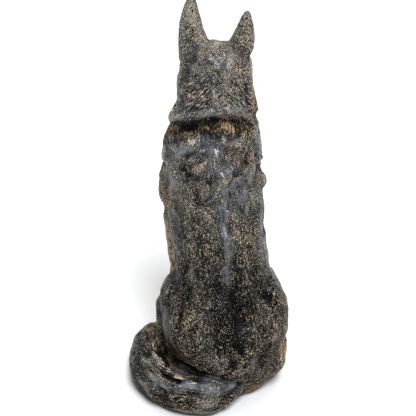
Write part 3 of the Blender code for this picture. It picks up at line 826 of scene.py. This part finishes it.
# The brush follows the hair. Over each stretch its run is a fixed direction, or the tail's own
# line, and the strokes fade out where one stretch meets the next. A row gives the run, where the
# stretch lies, and how much of the marks are strokes; the pattern is slow lengthwise.
LENGTHWISE = 0.09
CREST_WIDTH = 0.045
TAIL_ROUND = 0.032
TAIL_LENGTHWISE = 0.55 * LENGTHWISE
along_crest = near_line(own, TAIL_CREST, CREST_WIDTH)
on_nape = rise(above, 0.022, 0.006) * rise(-up, 0.0, 0.012) * (1 - face)
stretches = {
    "body": ((0, 0.40, -0.92), 0.30 + 0 * z, 0.10 + 0.35 * streaky),
    "band": ((0.0, 0.42, -0.91), band, 1.0),
    "leg": ((0, 0.05, -1), np.maximum(where["foreleg"], chest), 0.8),
    "nape_left": ((0.69, -0.14, -0.70), rise(across, -0.006, 0.008) * on_nape, 0.9),
    "nape_right": ((-0.62, 0.05, -0.75), rise(-across, 0.050, 0.008) * on_nape, 0.7),
    "muzzle": (tuple(HEAD_AXES[:, 1]), np.maximum(where["muzzle"], 0.9 * face), 0.9),
    "ear": (tuple(HEAD_AXES[:, 2]), 1.2 * where["ears"], 0.15 + 0.6 * inside_ear),
    "tail": (None, 1.3 * where["tail"], 0.10 + 0.85 * along_crest),
}
belongs = np.stack([share for _, share, _ in stretches.values()])
ranked = np.sort(belongs, axis=0)
chosen = belongs.argmax(0)
fade = np.clip((ranked[-1] - ranked[-2]) / 0.25, 0, 1)
tail_comb = np.stack([TAIL_ROUND * round_tail, TAIL_LENGTHWISE * along_tail, 0 * along_tail], axis=1)
comb = np.empty((len(co), 3))
stroked = np.empty(len(co))
for number, (run, _, amount) in enumerate(stretches.values()):
    here = chosen == number
    stroked[here] = (amount + 0 * z)[here]
    if run is None:
        comb[here] = TALL * tail_comb[here]
        continue
    run = Vector(run).normalized()
    aside = run.orthogonal().normalized()
    axes = np.array((aside, run * LENGTHWISE, run.cross(aside)))
    comb[here] = co[here] @ axes.T
stroked *= fade

# Strokes and dabs laid half and half lose contrast, so the contrast is raised there again. It is
# calmer on the tan places, the face, the ears and the cut under the ruff.
evened = np.sqrt((1 - stroked) ** 2 + stroked**2)
contrast = (1 - 0.70 * tan) * (1 - 0.40 * face) / evened * (1 - rims)
contrast = contrast * (1 - 0.78 * band) * (1 - 0.25 * where["ears"])
browned = np.max([near_line(own, line, width) for line, width in BROWN_PLACES], axis=0)
legs_less = tan * (1 - 0.35 * where["foreleg"])
tan_share = np.max([legs_less, 0.18 * (1 - upper), browned, 0.7 * band, 0.28 * streaky], axis=0)


def keep(name, values):
    """Stores one number, or one vector, for each point of the skin."""
    kind, field = ("FLOAT", "value") if values.ndim == 1 else ("FLOAT_VECTOR", "vector")
    layer = thinned.attributes.new(name, kind, "POINT")
    layer.data.foreach_set(field, values.astype(np.float32).ravel())


keep("gold", np.clip(gold, -0.6, 1.1))
keep("gloss", gloss)
keep("hollow", hollow * (1 - 0.8 * band) * (1 - 0.4 * tan))
keep("stroked", stroked)
keep("comb", comb)
keep("grain", contrast)
keep("tan", tan_share)
keep("black", np.maximum(nose, eyes))

# The paint itself. Fine patterns say where the brush touched: dabs that leave beads and worms, and
# strokes where it was dragged, while patches and clouds say how heavily it was laid on.
paint = bpy.data.materials.new("black_and_gold_patina")
paint.use_nodes = True
tree = paint.node_tree
shader = tree.nodes["Principled BSDF"]


def add_node(kind, settings, inputs, output=0):
    """A node with its settings; each input takes a number, a colour or another node's output."""
    made = tree.nodes.new("ShaderNode" + kind)
    for key, value in settings.items():
        setattr(made, key, value)
    for key, value in inputs.items():
        if isinstance(value, bpy.types.NodeSocket):
            tree.links.new(value, made.inputs[key])
        else:
            made.inputs[key].default_value = value
    return made.outputs[output]


def stored(name, output="Fac"):
    """What the skin keeps at each point under a name."""
    return add_node("Attribute", {"attribute_name": name}, {}, output)


def worked_out(operation, *values):
    """Arithmetic on one, two or three values."""
    return add_node("Math", {"operation": operation}, dict(enumerate(values)))


def scaled(value, low, high, new_low=0.0, new_high=1.0):
    """A soft step: new_low up to low, new_high from high on."""
    inputs = {"Value": value, "From Min": low, "From Max": high}
    inputs |= {"To Min": new_low, "To Max": new_high}
    return add_node("MapRange", {"interpolation_type": "SMOOTHSTEP"}, inputs, "Result")


def blended(factor, first, second):
    """Two colours mixed."""
    return add_node("Mix", {"data_type": "RGBA"}, {0: factor, 6: first, 7: second}, 2)


def speckle(vector, scale, detail, rough, distortion=0.0):
    """A random pattern, so many cells to the metre, from 0 to 1 with its middle at a half."""
    inputs = {"Vector": vector, "Scale": scale, "Detail": detail}
    inputs |= {"Roughness": rough, "Distortion": distortion}
    return add_node("TexNoise", {}, inputs, "Fac")


place = add_node("TexCoord", {}, {}, "Object")
gold_share = stored("gold")
gloss_share = stored("gloss")
hollow_share = stored("hollow")
along_hair = stored("comb", "Vector")
lines = worked_out("ABSOLUTE", worked_out("SUBTRACT", speckle(place, 320, 0.6, 0.5, 0.5), 0.5))
beads = worked_out("MULTIPLY_ADD", speckle(place, 540, 1.0, 0.5), 0.9, 0.22)
dabs = worked_out("MULTIPLY_ADD", lines, -2.7, beads)
dragged = speckle(along_hair, 600, 1.5, 0.6, 0.15)
strokes = worked_out("MULTIPLY_ADD", dragged, 1.25, -0.125)
rubbed = speckle(along_hair, 150, 1.5, 0.55)
patches = speckle(place, 48, 2.5, 0.65)
clouds = speckle(place, 13, 1.0, 0.5)
dust = speckle(place, 700, 2, 0.7)
stroke_share = worked_out("MULTIPLY", stored("stroked"), worked_out("SUBTRACT", strokes, dabs))
pattern = worked_out("ADD", dabs, stroke_share)

# how bright the brush has left each place, from 0, black, to 1, pale gold
wander = worked_out("MULTIPLY_ADD", pattern, 7.4, -4.86)
wander = worked_out("MULTIPLY_ADD", patches, 0.9, wander)
wander = worked_out("MULTIPLY_ADD", clouds, 0.8, wander)
wander = worked_out("MULTIPLY_ADD", dust, 0.5, wander)
level = worked_out("MULTIPLY_ADD", wander, stored("grain"), worked_out("SUBTRACT", gold_share, 0.30))
level = worked_out("MULTIPLY_ADD", hollow_share, -0.34, level)

# the colours, from the sprayed black to pale gold; a grey stands for painted sheen, a painted highlight
# where light catches glossy places, and the tan is browner
PAINTED_SHEEN_GREY = (0.155, 0.162, 0.188, 1)
BLACK = (0.0035, 0.0035, 0.0040, 1)
BRUSHED = (
    (0.12, BLACK),
    (0.44, (0.024, 0.022, 0.021, 1)),
    (0.68, (0.215, 0.178, 0.127, 1)),
    (0.94, (0.660, 0.565, 0.410, 1)),
)
BROWNED = (0.86, 0.69, 0.51)
ramp = add_node("ValToRGB", {}, {"Fac": level}, "Color")
stops = ramp.node.color_ramp.elements
while len(stops) < len(BRUSHED):
    stops.new(0.5)
for stop, (position, colour) in zip(stops, BRUSHED):
    stop.position = position
    stop.color = colour
brown = add_node("VectorMath", {"operation": "MULTIPLY"}, {0: ramp, 1: BROWNED}, "Vector")
# the gloss mixes the grey into the colour as a painted highlight of sheen, and it also weights the coat
shine = worked_out("MULTIPLY", gloss_share, scaled(patches, 0.35, 0.60, 0.45, 1.0))
shine = worked_out("MULTIPLY", shine, scaled(rubbed, 0.40, 0.60, 0.45, 1.2))
with_painted_sheen = blended(worked_out("MULTIPLY", shine, 0.66), blended(stored("tan"), ramp, brown), PAINTED_SHEEN_GREY)
tree.links.new(blended(stored("black"), with_painted_sheen, BLACK), shader.inputs["Base Color"])
tree.links.new(shine, shader.inputs["Coat Weight"])
shader.inputs["Coat Roughness"].default_value = 0.19

# black is smooth and gold is dull, and the dabs and strokes stand out by the thickness of paint
PAINT_THICKNESS = 0.0014
cover = scaled(level, 0.4, 0.9)
rough = worked_out("MULTIPLY_ADD", gloss_share, -0.06, 0.32)
rough = worked_out("MULTIPLY_ADD", cover, 0.25, rough)
tree.links.new(worked_out("MULTIPLY_ADD", hollow_share, 0.10, rough), shader.inputs["Roughness"])

relief = worked_out("MULTIPLY_ADD", patches, 0.5, scaled(pattern, 0.30, 0.70))
relief = worked_out("MULTIPLY", relief, worked_out("MULTIPLY_ADD", gloss_share, -0.50, 1.0))
relief = worked_out("MULTIPLY_ADD", dust, 0.10, relief)
bump = add_node("Bump", {}, {"Strength": 1.0, "Distance": PAINT_THICKNESS, "Height": relief}, "Normal")
tree.links.new(bump, shader.inputs["Normal"])
shader.inputs["Metallic"].default_value = 0.0
shader.inputs["Specular IOR Level"].default_value = 0.04

dog.data.materials.clear()
dog.data.materials.append(paint)
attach(dog, "root")
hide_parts("dog_statue")

# The floor of a plain studio: a pale dull sheet, wide enough to have no edge in sight.
bpy.ops.mesh.primitive_plane_add(size=60)
floor = bpy.context.object
floor.name = "floor"
pale = bpy.data.materials.new("pale_floor")
pale.use_nodes = True
sheet = pale.node_tree.nodes["Principled BSDF"]
sheet.inputs["Base Color"].default_value = (0.8, 0.8, 0.8, 1)
sheet.inputs["Roughness"].default_value = 0.9
floor.data.materials.append(pale)

# The studio's walls are white to look at, but they are far off and light the dog only faintly.
world = bpy.data.worlds.new("studio")
bpy.context.scene.world = world
world.use_nodes = True
walls = world.node_tree.nodes["Background"]
walls.inputs["Color"].default_value = (0.95, 0.97, 1.0, 1)
seen = world.node_tree.nodes.new("ShaderNodeLightPath")
glow = world.node_tree.nodes.new("ShaderNodeMapRange")
glow.inputs["To Min"].default_value = 0.08
glow.inputs["To Max"].default_value = 1.0
world.node_tree.links.new(seen.outputs["Is Camera Ray"], glow.inputs["Value"])
world.node_tree.links.new(glow.outputs["Result"], walls.inputs["Strength"])


def lamp(name, azimuth, elevation, wide, power, colour):
    """A round soft light far away, at an azimuth and elevation in degrees, so many degrees wide."""
    light = bpy.data.lights.new(name, "SUN")
    light.angle = math.radians(wide)
    light.energy = power
    light.color = colour
    holder = bpy.data.objects.new(name, light)
    around = Matrix.Rotation(math.radians(azimuth), 3, "Z")
    down = Matrix.Rotation(math.radians(90 - elevation), 3, "X")
    holder.rotation_mode = "QUATERNION"
    holder.rotation_quaternion = (around @ down).to_quaternion()
    bpy.context.scene.collection.objects.link(holder)


lamp("window", 190, 62, 30, 3.7, (0.95, 0.975, 1))
lamp("front", -20, 58, 70, 2.1, (1, 0.99, 0.97))
bpy.context.scene.view_settings.view_transform = "Standard"

# The camera stands behind the dog, a little to its left and above.
AZIMUTH = math.radians(168.2)
ELEVATION = math.radians(28.4)
DISTANCE = 2.2
LOOKED_AT = Vector((0, 0, 0.40))
camera = bpy.data.objects.new("camera", bpy.data.cameras.new("camera"))
bpy.context.scene.collection.objects.link(camera)
towards = Vector(
    (
        math.sin(AZIMUTH) * math.cos(ELEVATION),
        -math.cos(AZIMUTH) * math.cos(ELEVATION),
        math.sin(ELEVATION),
    )
)
camera.location = LOOKED_AT + towards * DISTANCE
camera.rotation_mode = "QUATERNION"
camera.rotation_quaternion = (-towards).to_track_quat("-Z", "Y")
camera.data.lens = 85.7
camera.data.shift_x = 0.0066
camera.data.shift_y = -0.0104
bpy.context.scene.camera = camera
